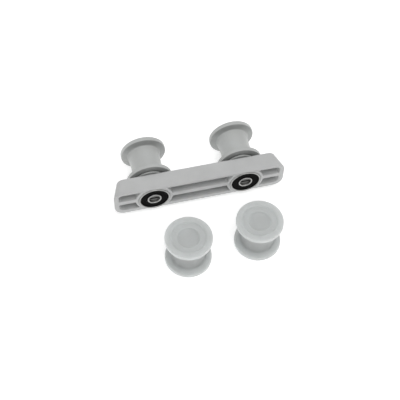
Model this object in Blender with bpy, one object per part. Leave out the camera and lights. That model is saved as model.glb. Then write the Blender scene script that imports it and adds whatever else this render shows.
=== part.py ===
"""Twin roller carrier for a sliding door, with its spare pair of rollers.

A moulded bar holds two sealed ball bearings. A short axle turns in each bearing
and carries a spacer and a waisted, double-flanged roller behind the bar. Two more
rollers stand loose in front of it.

Frame: metres, +Z up, X along the bar, Y along the roller axles with the rollers
behind the bar. The origin is under the middle of the whole set, at the level of the
surface that it lies on.
"""

import math

import bmesh
import bpy
from mathutils import Matrix

# ---- driving dimensions, in metres ------------------------------------------------

# Carrier bar
BAR_LENGTH = 0.0772
BAR_HEIGHT = 0.0147
BAR_DEPTH = 0.0083
BAR_END_DRAFT = 0.0025
BAR_TOP_CORNER = 0.0030
BAR_LOW_CORNER = 0.0047
BAR_EDGE_ROUND = 0.0006
ROLLER_SPACING = 0.0415

# Recess in the front of the bar, split by a rib along its length
WALL_TOP = 0.0012
WALL_LOW = 0.0022
WALL_END = 0.0020
RIB_THICKNESS = 0.0022
RIB_OFFSET = 0.0005
RECESS_DEPTH = 0.0060
RECESS_CORNER = 0.0006

# Bosses that hold the bearings: a proud lip in front, a thinner wall behind it, and a
# shoulder that thickens the wall inside the recess
BOSS_WALL = 0.00043
BOSS_PROUD = 0.0003
BOSS_LIP = 0.0009
BOSS_REAR_WALL = 0.0002
BOSS_BACK_STEP = 0.0004
BOSS_CHAMFER = 0.0002
SHOULDER_WALL = 0.00067
SHOULDER_PROUD = 0.0002

# Bearing, 5 x 14 x 5 mm with two rubber seals
BEARING_BORE = 0.005
BEARING_OUTSIDE = 0.014
BEARING_WIDTH = 0.005
BEARING_PROUD = 0.0002
BALL_DIAMETER = 0.002381
BALL_COUNT = 7
INNER_RING_WALL = 0.00075
OUTER_RING_WALL = 0.00065
LAND_FROM_PITCH = 0.0009
SEAL_SEAT_DEPTH = 0.0007
SEAL_THICKNESS = 0.0004
SEAL_SUNK = 0.00015
CAGE_THICKNESS = 0.0008
CAGE_BACK_WEB = 0.00025
CAGE_CROWN = 0.0010

# Roller
ROLLER_DIAMETER = 0.0205
ROLLER_LENGTH = 0.0170
WAIST_DIAMETER = 0.0138
WAIST_END_DIAMETER = 0.0146
RIM_WIDTH = 0.0021
RIM_END_ROUND = 0.0003
RIM_GROOVE_ROUND = 0.0005
FLANGE_LEAN = 0.0003
FLANGE_FILLET = 0.0009
END_RIM_WIDTH = 0.0030
END_RECESS_DEPTH = 0.00045
DISH_DIAMETER = 0.0098
DISH_DEPTH = 0.0011
ROLLER_END_WALL = 0.0040
ROLLER_BEHIND_BAR = 0.0013

# Axle and spacer
AXLE_END_SUNK = 0.0005
AXLE_IN_ROLLER = 0.0108
AXLE_CHAMFER = 0.0003
AXLE_SLOT_WIDTH = 0.0010
AXLE_SLOT_DEPTH = 0.0009
HUB_INSIDE_RING = 0.00005
SPACER_INSIDE_RIM = 0.0003
SPACER_GAP_TO_BAR = 0.0008
SPACER_CHAMFER = 0.0003

# The two loose rollers: sideways place, and room between the bar and the roller
LOOSE_PLACES = ((-0.0115, 0.01594), (0.0200, 0.01461))

# Clearances
FIT_GAP = 0.0002
RACE_GAP = 0.00012
HUB_CLEARANCE = 0.0007

# Facets round a full turn, and points along a quarter round
ROLLER_FACETS = 24
BEARING_FACETS = 20
AXLE_FACETS = 16
CORNER_POINTS = 4

# ---- worked out from the driving dimensions ----------------------------------------

ROLLER_RADIUS = ROLLER_DIAMETER / 2
AXLE_HEIGHT = ROLLER_RADIUS
AXLE_RADIUS = BEARING_BORE / 2 - FIT_GAP
BALL_RADIUS = BALL_DIAMETER / 2
PITCH_RADIUS = (BEARING_BORE + BEARING_OUTSIDE) / 4
SEAT_RADIUS = BEARING_OUTSIDE / 2 + FIT_GAP
BOSS_RADIUS = SEAT_RADIUS + BOSS_WALL
INNER_FACE_RADIUS = BEARING_BORE / 2 + INNER_RING_WALL
INNER_LAND_RADIUS = PITCH_RADIUS - LAND_FROM_PITCH
OUTER_LAND_RADIUS = PITCH_RADIUS + LAND_FROM_PITCH
SEAL_SEAT_RADIUS = BEARING_OUTSIDE / 2 - OUTER_RING_WALL
HUB_RADIUS = INNER_FACE_RADIUS - HUB_INSIDE_RING
END_RECESS_RADIUS = ROLLER_RADIUS - END_RIM_WIDTH
SPACER_RADIUS = END_RECESS_RADIUS - SPACER_INSIDE_RIM

# Distances behind the front of the bosses
BAR_FRONT = BOSS_PROUD
BAR_BACK = BAR_FRONT + BAR_DEPTH
BEARING_FRONT = -BEARING_PROUD
BEARING_BACK = BEARING_FRONT + BEARING_WIDTH
SEAT_BOTTOM = BEARING_BACK + FIT_GAP
ROLLER_FRONT = BAR_BACK + ROLLER_BEHIND_BAR
ROLLER_BACK = ROLLER_FRONT + ROLLER_LENGTH

# The set reaches from the nearest loose roller to the back of the fitted rollers
SET_FRONT = -max(room + ROLLER_DIAMETER for _, room in LOOSE_PLACES)
BOSS_FRONT_Y = -(SET_FRONT + ROLLER_BACK) / 2

COLOURS = {
    "grey_plastic": ((0.46, 0.48, 0.49), 0.45, 0.0),
    "white_nylon": ((0.62, 0.64, 0.65), 0.40, 0.0),
    "bearing_steel": ((0.55, 0.55, 0.54), 0.25, 1.0),
    "black_rubber": ((0.015, 0.015, 0.015), 0.60, 0.0),
    "brown_cage": ((0.30, 0.20, 0.10), 0.50, 0.0),
    "zinc_steel": ((0.42, 0.42, 0.41), 0.35, 1.0),
}


# ---- tools ------------------------------------------------------------------------

def clear_scene():
    for obj in list(bpy.data.objects):
        bpy.data.objects.remove(obj, do_unlink=True)


def material(node_name, kind):
    colour, roughness, metallic = COLOURS[kind]
    made = bpy.data.materials.new(node_name + "_" + kind)
    made.use_nodes = True
    shader = made.node_tree.nodes["Principled BSDF"]
    shader.inputs["Base Color"].default_value = (*colour, 1.0)
    shader.inputs["Roughness"].default_value = roughness
    shader.inputs["Metallic"].default_value = metallic
    return made


def add_object(name, bm, kind, location, upright=False):
    """Make an object from a bmesh; upright turns its +Y axis to point up."""
    bmesh.ops.recalc_face_normals(bm, faces=bm.faces)
    mesh = bpy.data.meshes.new(name)
    bm.to_mesh(mesh)
    bm.free()
    mesh.shade_smooth()
    mesh.set_sharp_from_angle(angle=math.radians(35))
    obj = bpy.data.objects.new(name, mesh)
    obj.location = location
    if upright:
        obj.rotation_euler = (math.pi / 2, 0.0, 0.0)
    obj.data.materials.append(material(name, kind))
    bpy.context.collection.objects.link(obj)
    return obj


def cut_with(obj, cutter, operation="DIFFERENCE"):
    """Join a cutter to an object by a Boolean modifier and keep it as a hidden guide."""
    modifier = obj.modifiers.new(cutter.name, "BOOLEAN")
    modifier.operation = operation
    modifier.solver = "EXACT"
    modifier.object = cutter
    cutter.hide_render = True
    cutter.display_type = "WIRE"


def arc(centre_a, centre_b, radius_a, radius_b, start, end, steps):
    """Points of an elliptical arc, from a start to an end angle in degrees."""
    points = []
    for step in range(steps + 1):
        angle = math.radians(start + (end - start) * step / steps)
        points.append((centre_a + radius_a * math.cos(angle),
                       centre_b + radius_b * math.sin(angle)))
    return points


def turned(profile, facets, closed=True):
    """Spin (radius, distance along Y) points about the Y axis into a solid."""
    bm = bmesh.new()
    verts = [bm.verts.new((radius, along, 0.0)) for radius, along in profile]
    edges = [bm.edges.new(pair) for pair in zip(verts, verts[1:])]
    if closed:
        edges.append(bm.edges.new((verts[-1], verts[0])))
    bmesh.ops.spin(bm, geom=verts + edges, axis=(0.0, 1.0, 0.0), cent=(0.0, 0.0, 0.0),
                   angle=2 * math.pi, steps=facets, use_merge=True)
    bmesh.ops.remove_doubles(bm, verts=bm.verts, dist=1e-7)
    return bm


def bar_outline(half_length, inset=0.0):
    """The bar's front outline as (x, z) about its middle, shrunk by an inset."""
    half = half_length - inset
    high = BAR_HEIGHT / 2 - inset
    top = BAR_TOP_CORNER - inset
    low = BAR_LOW_CORNER - inset
    steps = CORNER_POINTS
    return (arc(half - top, high - top, top, top, 0, 90, steps)
            + arc(-half + top, high - top, top, top, 90, 180, steps)
            + arc(-half + low, -high + low, low, low, 180, 270, steps)
            + arc(half - low, -high + low, low, low, 270, 360, steps))


def lofted(outlines):
    """Bridge (y, [(x, z)]) outlines of equal point counts and cap both ends."""
    bm = bmesh.new()
    loops = []
    for y, outline in outlines:
        loops.append([bm.verts.new((x, y, z)) for x, z in outline])
    for near, far in zip(loops, loops[1:]):
        for i, vert in enumerate(near):
            after = (i + 1) % len(near)
            bm.faces.new((vert, near[after], far[after], far[i]))
    bm.faces.new(loops[0])
    bm.faces.new(loops[-1])
    return bm


# ---- carrier bar --------------------------------------------------------------------

def recess_outline(low, high, end_corner_low, end_corner_high, half):
    """One half of the front recess, with its own corner at each outer end."""
    steps = CORNER_POINTS
    return (arc(half - end_corner_high, high - end_corner_high,
                end_corner_high, end_corner_high, 0, 90, steps)
            + arc(-half + end_corner_high, high - end_corner_high,
                  end_corner_high, end_corner_high, 90, 180, steps)
            + arc(-half + end_corner_low, low + end_corner_low,
                  end_corner_low, end_corner_low, 180, 270, steps)
            + arc(half - end_corner_low, low + end_corner_low,
                  end_corner_low, end_corner_low, 270, 360, steps))


def at_both_sides(bm):
    """Two copies of a solid in one bmesh, one on each axle."""
    bmesh.ops.translate(bm, verts=bm.verts, vec=(-ROLLER_SPACING / 2, 0.0, 0.0))
    copy = bmesh.ops.duplicate(bm, geom=bm.verts[:] + bm.edges[:] + bm.faces[:])
    moved = [item for item in copy["geom"] if isinstance(item, bmesh.types.BMVert)]
    bmesh.ops.translate(bm, verts=moved, vec=(ROLLER_SPACING, 0.0, 0.0))
    return bm


def shoulder_outline():
    """A circle round the boss, cut off half way into the bar's top and bottom walls."""
    radius = BOSS_RADIUS + SHOULDER_WALL
    highest = (BAR_HEIGHT - WALL_TOP) / 2
    lowest = -(BAR_HEIGHT - WALL_LOW) / 2
    circle = arc(0.0, 0.0, radius, radius, 0, 360, BEARING_FACETS)[:-1]
    return [(x, min(max(z, lowest), highest)) for x, z in circle]


def make_carrier_bar():
    centre = (0.0, BOSS_FRONT_Y, AXLE_HEIGHT)
    front_half = BAR_LENGTH / 2
    back_half = front_half - BAR_END_DRAFT
    edge = BAR_EDGE_ROUND
    bar = add_object("carrier_bar", lofted([
        (BAR_FRONT, bar_outline(front_half, edge)),
        (BAR_FRONT + edge, bar_outline(front_half)),
        (BAR_BACK - edge, bar_outline(back_half)),
        (BAR_BACK, bar_outline(back_half, edge)),
    ]), "grey_plastic", centre)

    rib_top = RIB_OFFSET + RIB_THICKNESS / 2
    rib_bottom = RIB_OFFSET - RIB_THICKNESS / 2
    ceiling = BAR_HEIGHT / 2 - WALL_TOP
    floor = -BAR_HEIGHT / 2 + WALL_LOW
    top_corner = BAR_TOP_CORNER - WALL_TOP
    low_corner = BAR_LOW_CORNER - WALL_LOW
    end_slope = BAR_END_DRAFT / (BAR_DEPTH - 2 * edge)
    halves = {
        "recess_above_rib": (rib_top, ceiling, RECESS_CORNER, top_corner),
        "recess_below_rib": (floor, rib_bottom, low_corner, RECESS_CORNER),
    }
    for name, shape in halves.items():
        sections = []
        for y in (BAR_FRONT - RECESS_DEPTH, BAR_FRONT + RECESS_DEPTH):
            half = front_half - WALL_END - end_slope * (y - BAR_FRONT)
            sections.append((y, recess_outline(*shape, half)))
        cut_with(bar, add_object(name, lofted(sections), "grey_plastic", centre))

    shoulder_back = BAR_FRONT + (RECESS_DEPTH + BAR_DEPTH) / 2
    shoulder = lofted([(BAR_FRONT - SHOULDER_PROUD, shoulder_outline()),
                       (shoulder_back, shoulder_outline())])
    shoulders = add_object("shoulders", at_both_sides(shoulder), "grey_plastic", centre)
    cut_with(bar, shoulders, "UNION")

    rear_radius = SEAT_RADIUS + BOSS_REAR_WALL
    boss_back = BAR_BACK - BOSS_BACK_STEP
    boss = [(0.0, 0.0),
            (BOSS_RADIUS - BOSS_CHAMFER, 0.0),
            (BOSS_RADIUS, BOSS_CHAMFER),
            (BOSS_RADIUS, BOSS_LIP),
            (rear_radius, BOSS_LIP + BOSS_WALL),
            (rear_radius, boss_back),
            (0.0, boss_back)]
    hole = HUB_RADIUS + HUB_CLEARANCE
    seat = [(0.0, -BOSS_WALL),
            (SEAT_RADIUS, -BOSS_WALL),
            (SEAT_RADIUS, SEAT_BOTTOM),
            (hole, SEAT_BOTTOM),
            (hole, BAR_BACK + BOSS_WALL),
            (0.0, BAR_BACK + BOSS_WALL)]
    bosses = add_object("bosses", at_both_sides(turned(boss, BEARING_FACETS, False)),
                        "grey_plastic", centre)
    cut_with(bar, bosses, "UNION")
    seats = add_object("seats", at_both_sides(turned(seat, BEARING_FACETS, False)),
                       "grey_plastic", centre)
    cut_with(bar, seats)


# ---- bearing ------------------------------------------------------------------------

def race_profile(land_radius, inward):
    """The groove that the balls run in, from its front edge to its back edge."""
    groove = BALL_RADIUS + RACE_GAP
    rise = abs(PITCH_RADIUS - land_radius)
    half_angle = math.degrees(math.acos(rise / groove))
    middle = 180.0 if inward else 0.0
    turn = -1.0 if inward else 1.0
    return arc(PITCH_RADIUS, BEARING_WIDTH / 2, groove, groove,
               middle - turn * half_angle, middle + turn * half_angle, 4)


def inner_ring_profile():
    bore = BEARING_BORE / 2
    face = INNER_FACE_RADIUS
    land = INNER_LAND_RADIUS
    seat = SEAL_SEAT_DEPTH
    return ([(bore, 0.0), (face, 0.0), (face, seat), (land, seat)]
            + race_profile(land, True)
            + [(land, BEARING_WIDTH - seat), (face, BEARING_WIDTH - seat),
               (face, BEARING_WIDTH), (bore, BEARING_WIDTH)])


def outer_ring_profile():
    outside = BEARING_OUTSIDE / 2
    face = SEAL_SEAT_RADIUS
    land = OUTER_LAND_RADIUS
    seat = SEAL_SEAT_DEPTH
    return ([(outside, 0.0), (face, 0.0), (face, seat), (land, seat)]
            + race_profile(land, False)
            + [(land, BEARING_WIDTH - seat), (face, BEARING_WIDTH - seat),
               (face, BEARING_WIDTH), (outside, BEARING_WIDTH)])


def seal_profile(front):
    inside = INNER_FACE_RADIUS + FIT_GAP
    outside = SEAL_SEAT_RADIUS - FIT_GAP
    return [(inside, front), (outside, front),
            (outside, front + SEAL_THICKNESS), (inside, front + SEAL_THICKNESS)]


def make_cage(name, place):
    """A crown cage: a ring with a pocket for each ball, open towards the back."""
    pocket = BALL_RADIUS + RACE_GAP
    middle = BEARING_WIDTH / 2
    front = middle - pocket - CAGE_BACK_WEB
    inside = PITCH_RADIUS - CAGE_THICKNESS / 2
    outside = PITCH_RADIUS + CAGE_THICKNESS / 2
    ring = turned([(inside, front), (outside, front),
                   (outside, middle + CAGE_CROWN), (inside, middle + CAGE_CROWN)],
                  BEARING_FACETS)
    cage = add_object(name, ring, "brown_cage", place)
    for number in range(BALL_COUNT):
        cutter = bmesh.new()
        along_radius = Matrix.Rotation(math.pi / 2, 4, "Y")
        out = Matrix.Translation((PITCH_RADIUS, middle, 0.0))
        turn = Matrix.Rotation(ball_angle(number), 4, "Y")
        bmesh.ops.create_cone(cutter, cap_ends=True, segments=10,
                              radius1=pocket, radius2=pocket, depth=3 * CAGE_THICKNESS,
                              matrix=turn @ out @ along_radius)
        cut_with(cage, add_object("%s_pocket_%d" % (name, number + 1), cutter,
                                  "brown_cage", place))


def ball_angle(number):
    return 2 * math.pi * number / BALL_COUNT


def make_bearing(side, place):
    start = side + "_bearing_"
    add_object(start + "outer_ring", turned(outer_ring_profile(), BEARING_FACETS),
               "bearing_steel", place)
    add_object(start + "inner_ring", turned(inner_ring_profile(), BEARING_FACETS),
               "bearing_steel", place)
    back = BEARING_WIDTH - SEAL_SUNK - SEAL_THICKNESS
    add_object(start + "front_seal", turned(seal_profile(SEAL_SUNK), BEARING_FACETS),
               "black_rubber", place)
    add_object(start + "rear_seal", turned(seal_profile(back), BEARING_FACETS),
               "black_rubber", place)
    make_cage(start + "cage", place)
    for number in range(BALL_COUNT):
        ball = bmesh.new()
        turn = Matrix.Rotation(ball_angle(number), 4, "Y")
        out = Matrix.Translation((PITCH_RADIUS, BEARING_WIDTH / 2, 0.0))
        bmesh.ops.create_icosphere(ball, subdivisions=2, radius=BALL_RADIUS,
                                   matrix=turn @ out)
        add_object("%sball_%d" % (start, number + 1), ball, "bearing_steel", place)


# ---- axle, spacer and roller ----------------------------------------------------------

def make_axle(side, place):
    """A plain pin with chamfered ends and a screwdriver slot in its front end."""
    length = ROLLER_FRONT + AXLE_IN_ROLLER - AXLE_END_SUNK
    nose = AXLE_RADIUS - AXLE_CHAMFER
    profile = [(0.0, 0.0), (nose, 0.0), (AXLE_RADIUS, AXLE_CHAMFER),
               (AXLE_RADIUS, length - AXLE_CHAMFER), (nose, length), (0.0, length)]
    axle = add_object(side + "_axle", turned(profile, AXLE_FACETS, False),
                      "zinc_steel", place)
    slot = bmesh.new()
    bmesh.ops.create_cube(slot, size=1.0)
    bmesh.ops.scale(slot, verts=slot.verts,
                    vec=(3 * AXLE_RADIUS, 2 * AXLE_SLOT_DEPTH, AXLE_SLOT_WIDTH))
    cut_with(axle, add_object(side + "_axle_slot", slot, "zinc_steel", place))


def make_spacer(side, place):
    """A flanged bush: its hub bears on the inner ring and its flange on the roller."""
    bore = BEARING_BORE / 2
    flange = SPACER_RADIUS
    step = SPACER_CHAMFER
    hub_end = BAR_BACK + SPACER_GAP_TO_BAR - SEAT_BOTTOM
    back = ROLLER_FRONT + END_RECESS_DEPTH - FIT_GAP - SEAT_BOTTOM
    profile = [(bore, 0.0), (HUB_RADIUS, 0.0), (HUB_RADIUS, hub_end),
               (flange - step, hub_end), (flange, hub_end + step),
               (flange, back), (bore, back)]
    add_object(side + "_spacer", turned(profile, BEARING_FACETS), "white_nylon", place)


def flange_profile():
    """Half of the roller's outer surface, from its end recess to the waist's middle."""
    radius = ROLLER_RADIUS
    outer = RIM_END_ROUND
    inner = RIM_GROOVE_ROUND
    recess = END_RECESS_RADIUS
    waist_end = WAIST_END_DIAMETER / 2
    points = [(recess, END_RECESS_DEPTH), (recess + END_RECESS_DEPTH, 0.0)]
    points += arc(radius - outer, outer, outer, outer, -90, 0, 2)
    points += arc(radius - inner, RIM_WIDTH - inner, inner, inner, 0, 80, 2)
    fillet_end = RIM_WIDTH + FLANGE_LEAN + FLANGE_FILLET
    points += arc(waist_end + FLANGE_FILLET, fillet_end,
                  FLANGE_FILLET, FLANGE_FILLET, -90, -180, 3)
    middle = ROLLER_LENGTH / 2
    hollow = (WAIST_END_DIAMETER - WAIST_DIAMETER) / 2
    points.append((WAIST_DIAMETER / 2 + hollow / 4, (fillet_end + middle) / 2))
    points.append((WAIST_DIAMETER / 2, middle))
    return points


def roller_profile():
    """From the bottom of the blind bore, out over both flanges, to the closed end."""
    half = flange_profile()
    other = [(radius, ROLLER_LENGTH - along) for radius, along in reversed(half[:-1])]
    bore = BEARING_BORE / 2
    bore_end = ROLLER_LENGTH - ROLLER_END_WALL
    dish = DISH_DIAMETER / 2
    face = ROLLER_LENGTH - END_RECESS_DEPTH
    return ([(0.0, bore_end), (bore, bore_end), (bore, END_RECESS_DEPTH)]
            + half + other
            + arc(0.0, face, dish, DISH_DEPTH, 0, -90, 4))


def make_roller(name, place, upright=False):
    add_object(name, turned(roller_profile(), ROLLER_FACETS, False), "white_nylon",
               place, upright)


# ---- the set ------------------------------------------------------------------------

def main():
    clear_scene()
    make_carrier_bar()
    for side, x in (("left", -ROLLER_SPACING / 2), ("right", ROLLER_SPACING / 2)):
        make_bearing(side, (x, BOSS_FRONT_Y + BEARING_FRONT, AXLE_HEIGHT))
        make_axle(side, (x, BOSS_FRONT_Y + AXLE_END_SUNK, AXLE_HEIGHT))
        make_spacer(side, (x, BOSS_FRONT_Y + SEAT_BOTTOM, AXLE_HEIGHT))
        make_roller(side + "_roller", (x, BOSS_FRONT_Y + ROLLER_FRONT, AXLE_HEIGHT))
    for name, (x, room) in zip(("loose_roller_left", "loose_roller_right"), LOOSE_PLACES):
        y = BOSS_FRONT_Y - room - ROLLER_RADIUS
        make_roller(name, (x, y, 0.0), upright=True)


main()
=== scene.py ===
"""Looks of the sliding door roller set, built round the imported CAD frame.

Every shown piece is turned, lofted or remeshed here in metres, in the CAD frame, and
stands for the CAD node of the same name.
"""

import math

import bmesh
import bpy
from mathutils import Matrix, Vector


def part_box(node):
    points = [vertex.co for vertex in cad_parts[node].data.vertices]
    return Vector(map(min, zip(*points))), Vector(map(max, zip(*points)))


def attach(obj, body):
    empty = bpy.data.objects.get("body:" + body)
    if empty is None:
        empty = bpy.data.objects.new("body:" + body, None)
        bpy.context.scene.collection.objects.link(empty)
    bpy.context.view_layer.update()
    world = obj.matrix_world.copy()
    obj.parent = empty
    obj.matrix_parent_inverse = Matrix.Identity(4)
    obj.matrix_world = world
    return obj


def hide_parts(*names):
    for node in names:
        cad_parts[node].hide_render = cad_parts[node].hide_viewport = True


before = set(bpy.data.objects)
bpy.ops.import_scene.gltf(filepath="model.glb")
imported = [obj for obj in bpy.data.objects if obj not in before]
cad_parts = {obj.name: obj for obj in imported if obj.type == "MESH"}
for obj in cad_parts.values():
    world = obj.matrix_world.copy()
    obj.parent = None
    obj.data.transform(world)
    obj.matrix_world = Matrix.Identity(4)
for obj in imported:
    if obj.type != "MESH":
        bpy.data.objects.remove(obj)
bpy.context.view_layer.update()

# ---- places and sizes from the frame, in metres --------------------------------------

SIDES = ("left", "right")
SPARES = ("loose_roller_left", "loose_roller_right")


def corners(node):
    """A CAD node's lowest and highest corners at rest."""
    low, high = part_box(node)
    return Vector(low), Vector(high)


BAR_LOW, BAR_HIGH = corners("carrier_bar")
ROLLER_LOW, ROLLER_HIGH = corners("left_roller")
OUTER_LOW, OUTER_HIGH = corners("left_bearing_outer_ring")
SEAL_LOW, SEAL_HIGH = corners("left_bearing_front_seal")
AXLE_LOW, AXLE_HIGH = corners("left_axle")
SPACER_LOW, SPACER_HIGH = corners("left_spacer")
CAGE_LOW, CAGE_HIGH = corners("left_bearing_cage")

ROLLER_RADIUS = (ROLLER_HIGH.x - ROLLER_LOW.x) / 2
ROLLER_LENGTH = ROLLER_HIGH.y - ROLLER_LOW.y
AXLE_HEIGHT = (ROLLER_HIGH.z + ROLLER_LOW.z) / 2
AXLE_X = {side: sum(c.x for c in corners(side + "_roller")) / 2 for side in SIDES}
BEARING_RADIUS = (OUTER_HIGH.x - OUTER_LOW.x) / 2
BEARING_WIDTH = OUTER_HIGH.y - OUTER_LOW.y
BOSS_FRONT = BAR_LOW.y
BAR_BACK = BAR_HIGH.y
BAR_HALF_LENGTH = (BAR_HIGH.x - BAR_LOW.x) / 2
BOSS_RADIUS = (BAR_HIGH.z - BAR_LOW.z) / 2

# Sizes that the frame's boxes don't show, the same as the CAD's or close to them
BORE_RADIUS = 0.0025
INNER_FACE_RADIUS = 0.0031
INNER_LAND_RADIUS = 0.00385
OUTER_LAND_RADIUS = 0.00565
SEAL_SEAT_RADIUS = 0.00635
SEAL_SEAT_DEPTH = 0.0007
PITCH_RADIUS = 0.00475
BALL_RADIUS = 0.00119
RACE_RADIUS = 0.00131
BALL_COUNT = 7
RING_SKIN_ROUND = 0.0003
RING_EDGE_ROUND = 0.00018
SEAL_INNER_GAP = 0.00006
SEAL_OUTER_GAP = 0.00008
SEAL_ROUND = 0.00012
CAGE_HALF_WALL = 0.0004
CAGE_ROUND = 0.0001

BAR_HALF_HEIGHT = 0.00735
BAR_FRONT = BOSS_FRONT + 0.0003
BAR_END_DRAFT = 0.0025
BAR_TOP_CORNER = 0.0030
BAR_LOW_CORNER = 0.0047
BAR_EDGE = 0.0006
WALL_TOP = 0.0012
WALL_LOW = 0.0022
WALL_END = 0.0020
RIB_TOP = 0.0016
RIB_BOTTOM = -0.0006
RECESS_DEPTH = 0.0060
RECESS_ROUND = 0.0006
BOSS_LIP = 0.0008
BOSS_TAPER = 0.0007
BOSS_INSIDE_BACK = 0.0004
BOSS_REAR_RADIUS = BAR_HALF_HEIGHT
SHOULDER_RADIUS = 0.0083
SHOULDER_SUNK = -0.0001
HUB_HOLE_RADIUS = 0.0039
SEAT_GAP = 0.00006
SEAT_CHAMFER = 0.0001
SEAT_FLOOR_GAP = 0.0002
CUTTER_OVERSHOOT = 0.001

WAIST_RADIUS = 0.0069
WAIST_END_RADIUS = 0.0073
RIM_WIDTH = 0.0021
RIM_END_ROUND = 0.00030
RIM_GROOVE_ROUND = 0.00055
FLANGE_LEAN = 0.0003
FLANGE_FILLET = 0.0009
END_RECESS_RADIUS = 0.00725
END_RECESS_DEPTH = 0.00045
END_RECESS_SLOPE = 0.0005
END_RECESS_ROUND = 0.00045
DISH_RADIUS = 0.0049
DISH_DEPTH = 0.0011
DISH_LIP_ROUND = 0.0004
DISH_LIP_ANGLE = -24
ROLLER_END_WALL = 0.0040
ROLLER_BORE_ROUND = 0.0004
AXLE_ROUND = 0.0003
AXLE_SLOT_DEPTH = 0.0009
AXLE_SLOT_WIDTH = 0.0010
SPACER_HUB_RADIUS = 0.0032
SPACER_GAP_TO_BAR = 0.0008
SPACER_ROUND = 0.0002

ROLLER_STEPS = 128
COLLAR_STEPS = 112
BEARING_STEPS = 96
AXLE_STEPS = 72
BAR_VOXEL = 0.00017
CAGE_VOXEL = 0.00006


# ---- mesh tools ------------------------------------------------------------------------

def arc(centre_a, centre_b, radius_a, radius_b, start, end, steps):
    """Points of an elliptical arc, from a start to an end angle in degrees."""
    points = []
    for step in range(steps + 1):
        angle = math.radians(start + (end - start) * step / steps)
        points.append((centre_a + radius_a * math.cos(angle),
                       centre_b + radius_b * math.sin(angle)))
    return points


def rounded(points, radius, steps=4, closed=True):
    """Replace each corner of a (a, b) outline by a small arc of about that radius."""
    count = len(points)
    result = []
    for i, point in enumerate(points):
        if not closed and i in (0, count - 1):
            result.append(point)
            continue
        here = Vector(point)
        before = Vector(points[i - 1]) - here
        after = Vector(points[(i + 1) % count]) - here
        reach = min(radius, 0.45 * before.length, 0.45 * after.length)
        start = here + before.normalized() * reach
        end = here + after.normalized() * reach
        for step in range(steps + 1):
            t = step / steps
            result.append(tuple(start * (1 - t) ** 2 + here * 2 * t * (1 - t) + end * t * t))
    return result


def turned(profile, steps, closed):
    """Spin (radius, distance along Y) points about the Y axis."""
    bm = bmesh.new()
    verts = [bm.verts.new((radius, along, 0.0)) for radius, along in profile]
    edges = [bm.edges.new(pair) for pair in zip(verts, verts[1:])]
    if closed:
        edges.append(bm.edges.new((verts[-1], verts[0])))
    bmesh.ops.spin(bm, geom=verts + edges, axis=(0.0, 1.0, 0.0), cent=(0.0, 0.0, 0.0),
                   angle=2 * math.pi, steps=steps, use_merge=True)
    bmesh.ops.remove_doubles(bm, verts=bm.verts, dist=1e-7)
    bmesh.ops.recalc_face_normals(bm, faces=bm.faces)
    return bm


def lofted(outlines):
    """Bridge (y, [(x, z)]) outlines of equal point counts and cap both ends."""
    bm = bmesh.new()
    loops = []
    for y, outline in outlines:
        loops.append([bm.verts.new((x, y, z)) for x, z in outline])
    for near, far in zip(loops, loops[1:]):
        for i, vert in enumerate(near):
            after = (i + 1) % len(near)
            bm.faces.new((vert, near[after], far[after], far[i]))
    bm.faces.new(loops[0])
    bm.faces.new(loops[-1])
    bmesh.ops.recalc_face_normals(bm, faces=bm.faces)
    return bm


def to_object(name, bm, sharp_degrees=40):
    """Make an object from a bmesh, smooth but for edges over an angle; 0 leaves all smooth."""
    mesh = bpy.data.meshes.new(name)
    bm.to_mesh(mesh)
    bm.free()
    mesh.shade_smooth()
    if sharp_degrees:
        mesh.set_sharp_from_angle(angle=math.radians(sharp_degrees))
    obj = bpy.data.objects.new(name, mesh)
    bpy.context.scene.collection.objects.link(obj)
    return obj


def settle(obj):
    """Replace an object's mesh by its evaluated one and drop its modifiers."""
    bpy.context.view_layer.update()
    graph = bpy.context.evaluated_depsgraph_get()
    mesh = bpy.data.meshes.new_from_object(obj.evaluated_get(graph))
    old = obj.data
    obj.modifiers.clear()
    obj.data = mesh
    bpy.data.meshes.remove(old)


def carve(obj, tool_mesh, operation="DIFFERENCE"):
    """Apply one Boolean to an object; the tool is a bmesh and is used up."""
    tool = to_object("tool", tool_mesh, 0)
    modifier = obj.modifiers.new("carve", "BOOLEAN")
    modifier.operation = operation
    modifier.solver = "EXACT"
    modifier.object = tool
    settle(obj)
    mesh = tool.data
    bpy.data.objects.remove(tool)
    bpy.data.meshes.remove(mesh)


def melt_together(obj, voxel, rounds, keep):
    """Remesh a carved piece into one closed skin with softly rounded edges."""
    remesh = obj.modifiers.new("remesh", "REMESH")
    remesh.mode = "VOXEL"
    remesh.voxel_size = voxel
    settle(obj)
    smooth = obj.modifiers.new("smooth", "SMOOTH")
    smooth.factor = 0.5
    smooth.iterations = rounds
    reduce = obj.modifiers.new("reduce", "DECIMATE")
    reduce.ratio = keep
    settle(obj)
    obj.data.shade_smooth()


def place(obj, location, upright=False):
    """Move a mesh that was made at the origin; upright turns its Y axis to Z."""
    turn = Matrix.Rotation(math.pi / 2, 4, "X") if upright else Matrix.Identity(4)
    obj.data.transform(Matrix.Translation(location) @ turn)


def finish_piece(obj, node, body, looks):
    """Give a piece its material and tie it to the frame in place of a CAD node."""
    obj.data.materials.clear()
    obj.data.materials.append(looks)
    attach(obj, body)
    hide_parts(node)


# ---- procedural materials --------------------------------------------------------------
# Noise scales are in cells per metre, and bump distances in metres.

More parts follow.
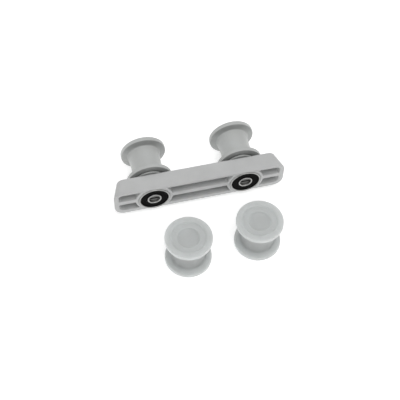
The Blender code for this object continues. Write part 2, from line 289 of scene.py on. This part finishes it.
class Nodes:
    """A small helper that adds and links shader nodes."""

    def __init__(self, name):
        self.material = bpy.data.materials.new(name)
        self.material.use_nodes = True
        self.tree = self.material.node_tree
        self.shader = self.tree.nodes["Principled BSDF"]
        coordinates = self.add("ShaderNodeTexCoord")
        self.place = coordinates.outputs["Object"]

    def add(self, kind, **settings):
        """Add a node; a setting is one of its own properties or an input."""
        node = self.tree.nodes.new(kind)
        for key, value in settings.items():
            if hasattr(node, key):
                setattr(node, key, value)
            else:
                node.inputs[key.replace("_", " ")].default_value = value
        return node

    def link(self, source, target):
        self.tree.links.new(source, target)

    def noise(self, scale, detail=3.0, roughness=0.5, stretch=(1.0, 1.0, 1.0)):
        """Noise in the piece's own space; a stretch below 1 draws it out on that axis."""
        mapping = self.add("ShaderNodeMapping")
        mapping.inputs["Scale"].default_value = stretch
        self.link(self.place, mapping.inputs["Vector"])
        node = self.add("ShaderNodeTexNoise")
        node.inputs["Scale"].default_value = scale
        node.inputs["Detail"].default_value = detail
        node.inputs["Roughness"].default_value = roughness
        self.link(mapping.outputs["Vector"], node.inputs["Vector"])
        return node.outputs["Fac"]

    def ramp(self, source, stops):
        """stops are (position, colour) pairs; a colour is (r, g, b) or one number."""
        node = self.add("ShaderNodeValToRGB")
        elements = node.color_ramp.elements
        while len(elements) < len(stops):
            elements.new(0.5)
        for element, (position, colour) in zip(elements, stops):
            element.position = position
            rgb = colour if isinstance(colour, tuple) else (colour, colour, colour)
            element.color = (*rgb, 1.0)
        self.link(source, node.inputs["Fac"])
        return node.outputs["Color"]

    def mix(self, factor, first, second, blend="MIX"):
        """Mix two colours, each an (r, g, b) or a socket."""
        node = self.add("ShaderNodeMix", data_type="RGBA", blend_type=blend)
        if isinstance(factor, float):
            node.inputs[0].default_value = factor
        else:
            self.link(factor, node.inputs[0])
        for socket, value in ((node.inputs[6], first), (node.inputs[7], second)):
            if isinstance(value, tuple):
                socket.default_value = (*value, 1.0)
            else:
                self.link(value, socket)
        return node.outputs[2]

    def bump(self, layers):
        """layers are (height source, strength, distance in metres), coarse to fine."""
        normal = None
        for height, strength, distance in layers:
            node = self.add("ShaderNodeBump")
            node.inputs["Strength"].default_value = strength
            node.inputs["Distance"].default_value = distance
            self.link(height, node.inputs["Height"])
            if normal is not None:
                self.link(normal, node.inputs["Normal"])
            normal = node.outputs["Normal"]
        self.link(normal, self.shader.inputs["Normal"])

    def set(self, **values):
        """Set or link the shader's own inputs."""
        for key, value in values.items():
            socket = self.shader.inputs[key.replace("_", " ")]
            if hasattr(value, "is_output"):
                self.link(value, socket)
            else:
                socket.default_value = value

    def value(self, attribute):
        """A number stored on the mesh's points."""
        node = self.add("ShaderNodeAttribute", attribute_name=attribute)
        return node.outputs["Fac"]

    def height(self, low, high):
        """0 below one height over the floor, rising to 1 at another."""
        geometry = self.add("ShaderNodeNewGeometry")
        split = self.add("ShaderNodeSeparateXYZ")
        self.link(geometry.outputs["Position"], split.inputs[0])
        scale = self.add("ShaderNodeMapRange")
        self.link(split.outputs["Z"], scale.inputs["Value"])
        scale.inputs["From Min"].default_value = low
        scale.inputs["From Max"].default_value = high
        return scale.outputs["Result"]

    def edges(self, low, high):
        """1 on worn outer edges, 0 elsewhere."""
        geometry = self.add("ShaderNodeNewGeometry")
        return self.ramp(geometry.outputs["Pointiness"], [(low, 0.0), (high, 1.0)])


def scaled(tone, share):
    return tuple(share * part for part in tone)


def moulded_grey(name, tone):
    """Satin grey moulded plastic: cloudy tone, fine spark texture, lighter worn edges."""
    n = Nodes(name)
    cloud = n.noise(90.0, 4.0, 0.55)
    tint = n.ramp(cloud, [(0.30, scaled(tone, 0.93)), (0.72, scaled(tone, 1.05))])
    flow = n.noise(140.0, 3.0, 0.6, (0.25, 1.0, 1.0))
    tint = n.mix(n.ramp(flow, [(0.56, 0.0), (0.78, 0.30)]), tint, scaled(tone, 0.86))
    specks = n.noise(1400.0, 2.0, 0.5)
    tint = n.mix(n.ramp(specks, [(0.70, 0.0), (0.80, 0.25)]), tint, scaled(tone, 0.72))
    tint = n.mix(n.edges(0.52, 0.62), tint, scaled(tone, 1.02))
    rough = n.ramp(n.noise(300.0, 4.0), [(0.3, 0.40), (0.7, 0.54)])
    n.set(Base_Color=tint, Roughness=rough)
    n.shader.inputs["Specular IOR Level"].default_value = 0.30
    n.bump([(cloud, 0.10, 0.0004), (n.noise(2600.0, 3.0, 0.6), 0.22, 0.00006)])
    return n.material


def natural_nylon(name, tone, shadow_tone, milky, depth, face_painted_shade=1.0, waist_painted_shade=1.0):
    """Natural nylon: milky, faintly blue, with flow marks and fine running scuffs.

    milky is the weight of the light scattered inside, and depth how far it goes in metres.
    The shades are painted shade. They multiply the tone high up on faces square to the axle,
    in patches, for the shade on the flanges' inner faces, and round the thick waist, for the
    shade between the flanges and the light the thick waist lets through less than the rims.
    """
    n = Nodes(name)
    cloud = n.noise(110.0, 5.0, 0.55)
    tint = n.ramp(cloud, [(0.28, shadow_tone), (0.74, tone)])
    scuffs = n.noise(420.0, 4.0, 0.65, (1.0, 0.10, 1.0))
    tint = n.mix(n.ramp(scuffs, [(0.60, 0.0), (0.76, 0.35)]), tint, scaled(tone, 0.84))
    tint = n.mix(n.edges(0.53, 0.64), tint, scaled(tone, 1.03))
    # Painted shade: the tone is darker on faces square to the axle, in patches and only high up
    # over the floor, for the shade on the flanges' inner faces.
    shade_patches = n.ramp(n.noise(260.0, 4.0, 0.6), [(0.25, 0.8), (0.6, 1.0)])
    square = n.ramp(n.value("square_to_axle"), [(0.45, 0.0), (0.85, 1.0)])
    faces = n.mix(shade_patches, (0.0, 0.0, 0.0), square)
    height = n.height(AXLE_HEIGHT + 0.25 * ROLLER_RADIUS, AXLE_HEIGHT + 0.75 * ROLLER_RADIUS)
    upper = n.ramp(height, [(0.0, 0.30), (1.0, 1.0)])
    faces = n.mix(1.0, faces, upper, "MULTIPLY")
    tint = n.mix(faces, tint, n.mix(1.0, tint, (face_painted_shade,) * 3, "MULTIPLY"))
    # Painted shade: the tone is darker round the waist, between the flanges.
    waist = n.ramp(n.value("waist"), [(0.0, 0.0), (1.0, 1.0)])
    tint = n.mix(waist, tint, n.mix(1.0, tint, (waist_painted_shade,) * 3, "MULTIPLY"))
    rough = n.ramp(n.noise(500.0, 4.0), [(0.3, 0.30), (0.7, 0.46)])
    n.set(Base_Color=tint, Roughness=rough)
    n.shader.inputs["Specular IOR Level"].default_value = 0.45
    n.shader.inputs["Subsurface Weight"].default_value = milky
    n.shader.inputs["Subsurface Radius"].default_value = (1.0, 1.0, 1.0)
    n.shader.inputs["Subsurface Scale"].default_value = depth
    n.bump([(cloud, 0.12, 0.0003), (n.noise(2200.0, 3.0, 0.6), 0.14, 0.00005)])
    return n.material


def turned_steel(name, tone, rough_low, rough_high, metallic=1.0):
    """Ground or turned steel: fine rings round the Y axis, smudges and tiny scratches."""
    n = Nodes(name)
    smudge = n.noise(350.0, 4.0, 0.6)
    tint = n.ramp(smudge, [(0.30, scaled(tone, 0.84)), (0.70, tone)])
    rings = n.noise(3200.0, 2.0, 0.5)
    scratch = n.noise(900.0, 4.0, 0.7, (1.0, 0.2, 3.0))
    tint = n.mix(n.ramp(scratch, [(0.66, 0.0), (0.76, 0.45)]), tint, scaled(tone, 0.70))
    n.set(Base_Color=tint, Roughness=n.ramp(smudge, [(0.3, rough_low), (0.7, rough_high)]))
    n.shader.inputs["Metallic"].default_value = metallic
    n.bump([(rings, 0.10, 0.00003)])
    return n.material


def seal_rubber(name):
    """Black nitrile seal: dusty, slightly brown in places, finely grained."""
    n = Nodes(name)
    dust = n.noise(520.0, 5.0, 0.65)
    tint = n.ramp(dust, [(0.42, (0.002, 0.002, 0.002)), (0.80, (0.010, 0.0095, 0.0085))])
    n.set(Base_Color=tint, Roughness=n.ramp(dust, [(0.3, 0.60), (0.7, 0.80)]))
    n.shader.inputs["Specular IOR Level"].default_value = 0.05
    n.bump([(n.noise(2600.0, 3.0, 0.6), 0.25, 0.00004)])
    return n.material


def cage_polymer(name):
    """Brown glass-filled cage polymer with fibre streaks."""
    n = Nodes(name)
    fibre = n.noise(1200.0, 4.0, 0.6, (0.3, 1.0, 1.0))
    tint = n.ramp(fibre, [(0.35, (0.16, 0.10, 0.05)), (0.75, (0.30, 0.20, 0.11))])
    n.set(Base_Color=tint, Roughness=n.ramp(fibre, [(0.3, 0.42), (0.7, 0.60)]))
    n.bump([(fibre, 0.20, 0.00004)])
    return n.material


def studio_floor(name):
    """Pale matt paper, with a trace of unevenness."""
    n = Nodes(name)
    paper = n.noise(35.0, 4.0, 0.5)
    n.set(Base_Color=n.ramp(paper, [(0.3, 0.90), (0.7, 0.93)]), Roughness=0.9)
    n.shader.inputs["Emission Color"].default_value = (1.0, 1.0, 1.0, 1.0)
    n.shader.inputs["Emission Strength"].default_value = 0.42
    n.shader.inputs["Specular IOR Level"].default_value = 0.1
    return n.material


GREY_TONE = (0.540, 0.545, 0.545)
# The loose rollers' two tones are lighter than the fitted rollers' tones of the same nylon. This
# is painted light, for the brighter light on the loose rollers.
LOOSE_LIT_NYLON_TONE = (0.570, 0.590, 0.590)
LOOSE_LIT_NYLON_SHADOW = (0.530, 0.545, 0.540)
FITTED_TONE = (0.525, 0.540, 0.535)
FITTED_SHADOW = (0.490, 0.500, 0.490)

LOOKS = {
    "bar": moulded_grey("bar_moulded_grey", GREY_TONE),
    # The fitted rollers get painted shade high up on their flanges' inner faces. The loose
    # rollers get painted shade round their waists and a lighter tone, which is painted light.
    "fitted": natural_nylon("fitted_roller_nylon", FITTED_TONE, FITTED_SHADOW,
                            milky=0.15, depth=0.001, face_painted_shade=0.56),
    "loose": natural_nylon("loose_roller_nylon", LOOSE_LIT_NYLON_TONE, LOOSE_LIT_NYLON_SHADOW,
                           milky=0.85, depth=0.005, face_painted_shade=0.97, waist_painted_shade=0.78),
    "spacer": natural_nylon("spacer_nylon", FITTED_TONE, FITTED_SHADOW, 0.15, 0.001),
    "ring": turned_steel("bearing_ring_steel", (0.50, 0.50, 0.49), 0.30, 0.45),
    "ball": turned_steel("ball_steel", (0.62, 0.62, 0.62), 0.08, 0.14),
    "axle": turned_steel("axle_steel", (0.16, 0.16, 0.155), 0.38, 0.55),
    "seal": seal_rubber("seal_rubber"),
    "cage": cage_polymer("cage_polymer"),
    "floor": studio_floor("studio_floor"),
}


# ---- carrier bar -------------------------------------------------------------------------

def corner_outline(half, high, low, top_corner, low_corner, steps=10):
    """A rounded (x, z) outline; high and low are its top and bottom, low negative."""
    return (arc(half - top_corner, high - top_corner, top_corner, top_corner, 0, 90, steps)
            + arc(-half + top_corner, high - top_corner, top_corner, top_corner, 90, 180, steps)
            + arc(-half + low_corner, low + low_corner, low_corner, low_corner, 180, 270, steps)
            + arc(half - low_corner, low + low_corner, low_corner, low_corner, 270, 360, steps))


def both_sides(bm):
    """Two copies of a solid in one bmesh, one on each axle, with Y from the boss front."""
    bmesh.ops.translate(bm, verts=bm.verts, vec=(AXLE_X["left"], BOSS_FRONT, AXLE_HEIGHT))
    copy = bmesh.ops.duplicate(bm, geom=bm.verts[:] + bm.edges[:] + bm.faces[:])
    moved = [item for item in copy["geom"] if isinstance(item, bmesh.types.BMVert)]
    bmesh.ops.translate(bm, verts=moved, vec=(AXLE_X["right"] - AXLE_X["left"], 0.0, 0.0))
    return bm


def raised(outline):
    return [(x, z + AXLE_HEIGHT) for x, z in outline]


def make_bar():
    slope = BAR_END_DRAFT / (BAR_BACK - BAR_FRONT - 2 * BAR_EDGE)
    sections = []
    for y, half, inset in ((BAR_FRONT, BAR_HALF_LENGTH, 0.0),
                           (BAR_FRONT + BAR_EDGE, BAR_HALF_LENGTH, 0.0),
                           (BAR_BACK - BAR_EDGE, BAR_HALF_LENGTH - BAR_END_DRAFT, 0.0),
                           (BAR_BACK, BAR_HALF_LENGTH - BAR_END_DRAFT, BAR_EDGE)):
        sections.append((y, raised(corner_outline(
            half - inset, BAR_HALF_HEIGHT - inset, -BAR_HALF_HEIGHT + inset,
            BAR_TOP_CORNER - inset, BAR_LOW_CORNER - inset))))
    bar = to_object("carrier_bar_shell", lofted(sections), 0)

    ceiling = BAR_HALF_HEIGHT - WALL_TOP
    floor = -BAR_HALF_HEIGHT + WALL_LOW
    shapes = ((RIB_TOP, ceiling, BAR_TOP_CORNER - WALL_TOP, RECESS_ROUND),
              (floor, RIB_BOTTOM, RECESS_ROUND, BAR_LOW_CORNER - WALL_LOW))
    for low, high, top_corner, low_corner in shapes:
        cut = []
        for y in (BAR_FRONT - CUTTER_OVERSHOOT, BAR_FRONT + RECESS_DEPTH):
            half = BAR_HALF_LENGTH - WALL_END - slope * (y - BAR_FRONT)
            cut.append((y, raised(corner_outline(half, high, low, top_corner, low_corner))))
        carve(bar, lofted(cut))

    circle = arc(0.0, 0.0, SHOULDER_RADIUS, SHOULDER_RADIUS, 0, 360, BEARING_STEPS)[:-1]
    highest = BAR_HALF_HEIGHT - WALL_TOP / 2
    lowest = -BAR_HALF_HEIGHT + WALL_LOW / 2
    clipped = [(x, min(max(z, lowest), highest)) for x, z in circle]
    start = BAR_FRONT - BOSS_FRONT
    shoulder = lofted([(start + SHOULDER_SUNK, clipped),
                       (start + RECESS_DEPTH + CUTTER_OVERSHOOT, clipped)])
    carve(bar, both_sides(shoulder), "UNION")

    depth = BAR_BACK - BOSS_FRONT
    boss_end = depth - BOSS_INSIDE_BACK
    boss = [(0.0, 0.0), (BOSS_RADIUS, 0.0), (BOSS_RADIUS, BOSS_LIP),
            (BOSS_REAR_RADIUS, BOSS_LIP + BOSS_TAPER),
            (BOSS_REAR_RADIUS, boss_end), (0.0, boss_end)]
    carve(bar, both_sides(turned(boss, BEARING_STEPS, False)), "UNION")
    seat = BEARING_RADIUS + SEAT_GAP
    mouth = seat + SEAT_CHAMFER
    seat_bottom = OUTER_HIGH.y + SEAT_FLOOR_GAP - BOSS_FRONT
    hole = [(0.0, -CUTTER_OVERSHOOT), (mouth, -CUTTER_OVERSHOOT), (mouth, 0.0),
            (seat, SEAT_CHAMFER), (seat, seat_bottom), (HUB_HOLE_RADIUS, seat_bottom),
            (HUB_HOLE_RADIUS, depth + CUTTER_OVERSHOOT), (0.0, depth + CUTTER_OVERSHOOT)]
    carve(bar, both_sides(turned(hole, BEARING_STEPS, False)))

    melt_together(bar, BAR_VOXEL, rounds=5, keep=0.35)
    finish_piece(bar, "carrier_bar", "carrier", LOOKS["bar"])


# ---- bearings ------------------------------------------------------------------------------

def race(land, inward):
    rise = abs(PITCH_RADIUS - land)
    half_angle = math.degrees(math.acos(rise / RACE_RADIUS))
    middle = 180.0 if inward else 0.0
    turn = -1.0 if inward else 1.0
    return arc(PITCH_RADIUS, BEARING_WIDTH / 2, RACE_RADIUS, RACE_RADIUS,
               middle - turn * half_angle, middle + turn * half_angle, 16)


def ring_profile(skin, face, land, inward):
    """A bearing ring: skin is its plain side, face its seal seat, land beside the groove."""
    seat = SEAL_SEAT_DEPTH
    corner = [(skin, seat), (skin, 0.0), (face, 0.0)]
    step = [(skin, 0.0), (face, 0.0), (face, seat), (land, seat)]
    half = (rounded(corner, RING_SKIN_ROUND, 5, False)[1:-1]
            + rounded(step, RING_EDGE_ROUND, 4, False)[1:])
    back = [(radius, BEARING_WIDTH - along) for radius, along in reversed(half)]
    return half + race(land, inward) + back


def seal_profile():
    """A seal seen in section: a thick outer bead, a dished web and an inner lip."""
    inner = INNER_FACE_RADIUS + SEAL_INNER_GAP
    outer = SEAL_SEAT_RADIUS - SEAL_OUTER_GAP
    thickness = SEAL_HIGH.y - SEAL_LOW.y
    dip = 0.3 * thickness
    front = [(inner, 0.4 * dip), (inner + 0.0004, 0.0), (inner + 0.0007, dip),
             (outer - 0.0009, dip), (outer - 0.0006, 0.0), (outer, 0.2 * dip)]
    return rounded(front + [(outer, thickness), (inner, thickness)], SEAL_ROUND, 3)


def make_cage(name):
    """A crown cage: a ring with a round pocket cut for each ball."""
    inside = PITCH_RADIUS - CAGE_HALF_WALL
    outside = PITCH_RADIUS + CAGE_HALF_WALL
    front = CAGE_LOW.y - OUTER_LOW.y
    back = CAGE_HIGH.y - OUTER_LOW.y
    section = [(inside, front), (outside, front), (outside, back), (inside, back)]
    ring = rounded(section, CAGE_ROUND, 3)
    cage = to_object(name, turned(ring, COLLAR_STEPS, True))
    for number in range(BALL_COUNT):
        tool = bmesh.new()
        turn = Matrix.Rotation(2 * math.pi * number / BALL_COUNT, 4, "Y")
        out = Matrix.Translation((PITCH_RADIUS, BEARING_WIDTH / 2, 0.0))
        bmesh.ops.create_uvsphere(tool, u_segments=32, v_segments=20,
                                  radius=RACE_RADIUS, matrix=turn @ out)
        carve(cage, tool)
    melt_together(cage, CAGE_VOXEL, rounds=2, keep=0.3)
    return cage


def make_bearing(side):
    start = side + "_bearing_"
    where = (AXLE_X[side], OUTER_LOW.y, AXLE_HEIGHT)
    outer = ring_profile(BEARING_RADIUS, SEAL_SEAT_RADIUS, OUTER_LAND_RADIUS, False)
    inner = ring_profile(BORE_RADIUS, INNER_FACE_RADIUS, INNER_LAND_RADIUS, True)
    for profile, name, node, body in ((outer, "outer_race", "outer_ring", "carrier"),
                                      (inner, "inner_race", "inner_ring", side + "_wheel")):
        piece = to_object(start + name, turned(profile, BEARING_STEPS, True))
        place(piece, where)
        finish_piece(piece, start + node, body, LOOKS["ring"])

    for which in ("front", "rear"):
        node = start + which + "_seal"
        low, high = corners(node)
        seal = to_object(node + "_lip", turned(seal_profile(), BEARING_STEPS, True))
        if which == "rear":
            seal.data.transform(Matrix.Rotation(math.pi, 4, "X"))
            place(seal, (AXLE_X[side], high.y, AXLE_HEIGHT))
        else:
            place(seal, (AXLE_X[side], low.y, AXLE_HEIGHT))
        finish_piece(seal, node, "carrier", LOOKS["seal"])

    cage = make_cage(start + "crown")
    place(cage, where)
    balls = side + "_ball_set"
    finish_piece(cage, start + "cage", balls, LOOKS["cage"])
    for number in range(1, BALL_COUNT + 1):
        node = start + "ball_" + str(number)
        low, high = corners(node)
        bm = bmesh.new()
        bmesh.ops.create_icosphere(bm, subdivisions=4, radius=BALL_RADIUS)
        ball = to_object(node + "_sphere", bm, 0)
        place(ball, (low + high) / 2)
        finish_piece(ball, node, balls, LOOKS["ball"])


# ---- axles, spacers and rollers ---------------------------------------------------------------

def make_axle(side):
    """A pin with rounded ends and a screwdriver slot in its front end."""
    radius = (AXLE_HIGH.x - AXLE_LOW.x) / 2
    length = AXLE_HIGH.y - AXLE_LOW.y
    outline = [(0.0, 0.0), (radius, 0.0), (radius, length), (0.0, length)]
    profile = rounded(outline, AXLE_ROUND, 5, False)
    axle = to_object(side + "_pin", turned(profile, AXLE_STEPS, False))
    slot = bmesh.new()
    bmesh.ops.create_cube(slot, size=1.0)
    bmesh.ops.scale(slot, verts=slot.verts,
                    vec=(3 * radius, 2 * AXLE_SLOT_DEPTH, AXLE_SLOT_WIDTH))
    carve(axle, slot)
    axle.data.shade_smooth()
    axle.data.set_sharp_from_angle(angle=math.radians(35))
    place(axle, (AXLE_X[side], AXLE_LOW.y, AXLE_HEIGHT))
    finish_piece(axle, side + "_axle", side + "_wheel", LOOKS["axle"])


def make_spacer(side):
    """A flanged bush: its hub bears on the inner ring and its flange on the roller."""
    radius = (SPACER_HIGH.x - SPACER_LOW.x) / 2
    length = SPACER_HIGH.y - SPACER_LOW.y
    flange = BAR_BACK + SPACER_GAP_TO_BAR - SPACER_LOW.y
    hub = SPACER_HUB_RADIUS
    outline = [(BORE_RADIUS, 0.0), (hub, 0.0), (hub, flange), (radius, flange),
               (radius, length), (BORE_RADIUS, length)]
    profile = rounded(outline, SPACER_ROUND, 5)
    spacer = to_object(side + "_collar", turned(profile, COLLAR_STEPS, True))
    place(spacer, (AXLE_X[side], SPACER_LOW.y, AXLE_HEIGHT))
    finish_piece(spacer, side + "_spacer", side + "_wheel", LOOKS["spacer"])


def half_roller():
    """From the floor of the end recess, over the rim and down the flare to the waist."""
    outer = RIM_END_ROUND
    inner = RIM_GROOVE_ROUND
    middle = ROLLER_LENGTH / 2
    fillet = FLANGE_FILLET
    flare_end = RIM_WIDTH + FLANGE_LEAN + fillet
    recess = END_RECESS_RADIUS
    top = recess + END_RECESS_SLOPE
    step = [(recess - 0.0012, END_RECESS_DEPTH), (recess, END_RECESS_DEPTH),
            (top, 0.0), (recess + 0.0014, 0.0)]
    points = rounded(step, END_RECESS_ROUND, 5, False)
    points += arc(ROLLER_RADIUS - outer, outer, outer, outer, -90, 0, 7)
    points += arc(ROLLER_RADIUS - inner, RIM_WIDTH - inner, inner, inner, 0, 82, 8)
    points += arc(WAIST_END_RADIUS + fillet, flare_end, fillet, fillet, -100, -178, 10)
    for share in (0.08, 0.2, 0.35, 0.5, 0.65, 0.8, 0.92):
        bow = (WAIST_END_RADIUS - WAIST_RADIUS) * (1 - share) ** 2
        points.append((WAIST_RADIUS + bow, flare_end + (middle - flare_end) * share))
    points.append((WAIST_RADIUS, middle))
    return points


def roller_profile():
    """From the bottom of the blind bore, out over both flanges, to the middle of the dish."""
    half = half_roller()
    other = [(radius, ROLLER_LENGTH - along) for radius, along in reversed(half[:-1])]
    bore_end = ROLLER_LENGTH - ROLLER_END_WALL
    hole = [(0.0, bore_end), (BORE_RADIUS, bore_end), (BORE_RADIUS, END_RECESS_DEPTH), half[0]]
    bore = rounded(hole, ROLLER_BORE_ROUND, 4, False)[:-1]
    face = ROLLER_LENGTH - END_RECESS_DEPTH
    dish = arc(0.0, face, DISH_RADIUS, DISH_DEPTH, DISH_LIP_ANGLE, -90, 18)
    lip = rounded([other[-1], (DISH_RADIUS, face), dish[0]], DISH_LIP_ROUND, 6, False)[1:-1]
    return bore + half + other + lip + dish


def roller_body(name, profile):
    """A turned roller that also stores which points face along the axle or lie on the waist."""
    roller = to_object(name, turned(profile, ROLLER_STEPS, False))
    mesh = roller.data
    square = mesh.attributes.new("square_to_axle", "FLOAT", "POINT")
    square.data.foreach_set("value", [abs(v.normal.y) for v in mesh.vertices])
    waist = mesh.attributes.new("waist", "FLOAT", "POINT")
    edge = RIM_WIDTH + FLANGE_LEAN
    values = []
    for v in mesh.vertices:
        depth = min(v.co.y, ROLLER_LENGTH - v.co.y) - edge
        outside = math.hypot(v.co.x, v.co.z) > WAIST_RADIUS - 0.0002
        values.append(min(1.0, max(0.0, depth / FLANGE_FILLET)) if outside else 0.0)
    waist.data.foreach_set("value", values)
    return roller


def make_rollers():
    profile = roller_profile()
    for side in SIDES:
        node = side + "_roller"
        roller = roller_body(node + "_body", profile)
        place(roller, (AXLE_X[side], ROLLER_LOW.y, AXLE_HEIGHT))
        finish_piece(roller, node, side + "_wheel", LOOKS["fitted"])
    for node in SPARES:
        low, high = corners(node)
        middle = (low + high) / 2
        roller = roller_body(node + "_body", profile)
        place(roller, (middle.x, middle.y, low.z), upright=True)
        body = "spare_" + node.rsplit("_", 1)[1]
        finish_piece(roller, node, body, LOOKS["loose"])


# ---- stage -----------------------------------------------------------------------------

FLOOR_DROP = 0.00005
DOME_STRENGTH = 0.63
DOME_LOW = (0.80, 0.80, 0.79, 1.0)
DOME_HIGH = (1.0, 1.0, 1.0, 1.0)
DOME_TILT = (0.0, 0.17, 0.985)
KEY_PLACE = (0.06, -0.15, 0.60)
KEY_POWER = 1.1
BACK_PLACE = (0.05, 0.38, 0.42)
BACK_POWER = 0.12


def make_floor():
    bm = bmesh.new()
    bmesh.ops.create_grid(bm, x_segments=4, y_segments=4, size=1.5)
    floor = to_object("studio_floor", bm, 0)
    floor.location.z = -FLOOR_DROP
    floor.data.materials.append(LOOKS["floor"])


def area_light(name, location, size, power):
    """A round soft light that points at the middle of the set."""
    data = bpy.data.lights.new(name, "AREA")
    data.shape = "DISK"
    data.size = size
    data.energy = power
    light = bpy.data.objects.new(name, data)
    light.location = location
    light.rotation_euler = (-Vector(location)).to_track_quat("-Z", "Y").to_euler()
    bpy.context.scene.collection.objects.link(light)


def make_light():
    """A soft dome, brighter overhead than low down, a key light high in front and a faint
    light from behind.
    """
    world = bpy.data.worlds.new("studio")
    world.use_nodes = True
    tree = world.node_tree
    background = tree.nodes["Background"]
    direction = tree.nodes.new("ShaderNodeTexCoord")
    tilt = tree.nodes.new("ShaderNodeVectorMath")
    tilt.operation = "DOT_PRODUCT"
    tilt.inputs[1].default_value = DOME_TILT
    ramp = tree.nodes.new("ShaderNodeValToRGB")
    ramp.color_ramp.elements[0].position = 0.0
    ramp.color_ramp.elements[0].color = DOME_LOW
    ramp.color_ramp.elements[1].position = 0.9
    ramp.color_ramp.elements[1].color = DOME_HIGH
    tree.links.new(direction.outputs["Generated"], tilt.inputs[0])
    tree.links.new(tilt.outputs["Value"], ramp.inputs["Fac"])
    tree.links.new(ramp.outputs["Color"], background.inputs["Color"])
    background.inputs["Strength"].default_value = DOME_STRENGTH
    bpy.context.scene.world = world
    area_light("key", KEY_PLACE, 0.40, KEY_POWER)
    area_light("back", BACK_PLACE, 0.30, BACK_POWER)


def make_camera():
    """A camera on the photograph's side: in front, a little left and well above."""
    azimuth = math.radians(-15.53)
    elevation = math.radians(57.01)
    roll = math.radians(2.41)
    distance = 0.399
    target = Vector((0.00042, 0.00622, 0.0))
    back = Vector((math.sin(azimuth) * math.cos(elevation),
                   -math.cos(azimuth) * math.cos(elevation), math.sin(elevation)))
    data = bpy.data.cameras.new("camera")
    data.sensor_width = 36.0
    data.lens = 78.93
    data.clip_start = 0.01
    data.clip_end = 10.0
    camera = bpy.data.objects.new("camera", data)
    facing = (-back).to_track_quat("-Z", "Y").to_matrix().to_4x4()
    spin = Matrix.Rotation(roll, 4, "Z")
    camera.matrix_world = Matrix.Translation(target + back * distance) @ facing @ spin
    bpy.context.scene.collection.objects.link(camera)
    bpy.context.scene.camera = camera


make_camera()
make_bar()
for side in SIDES:
    make_bearing(side)
    make_axle(side)
    make_spacer(side)
make_rollers()
make_floor()
make_light()
bpy.context.scene.view_settings.view_transform = "Standard"

bpy.context.view_layer.update()
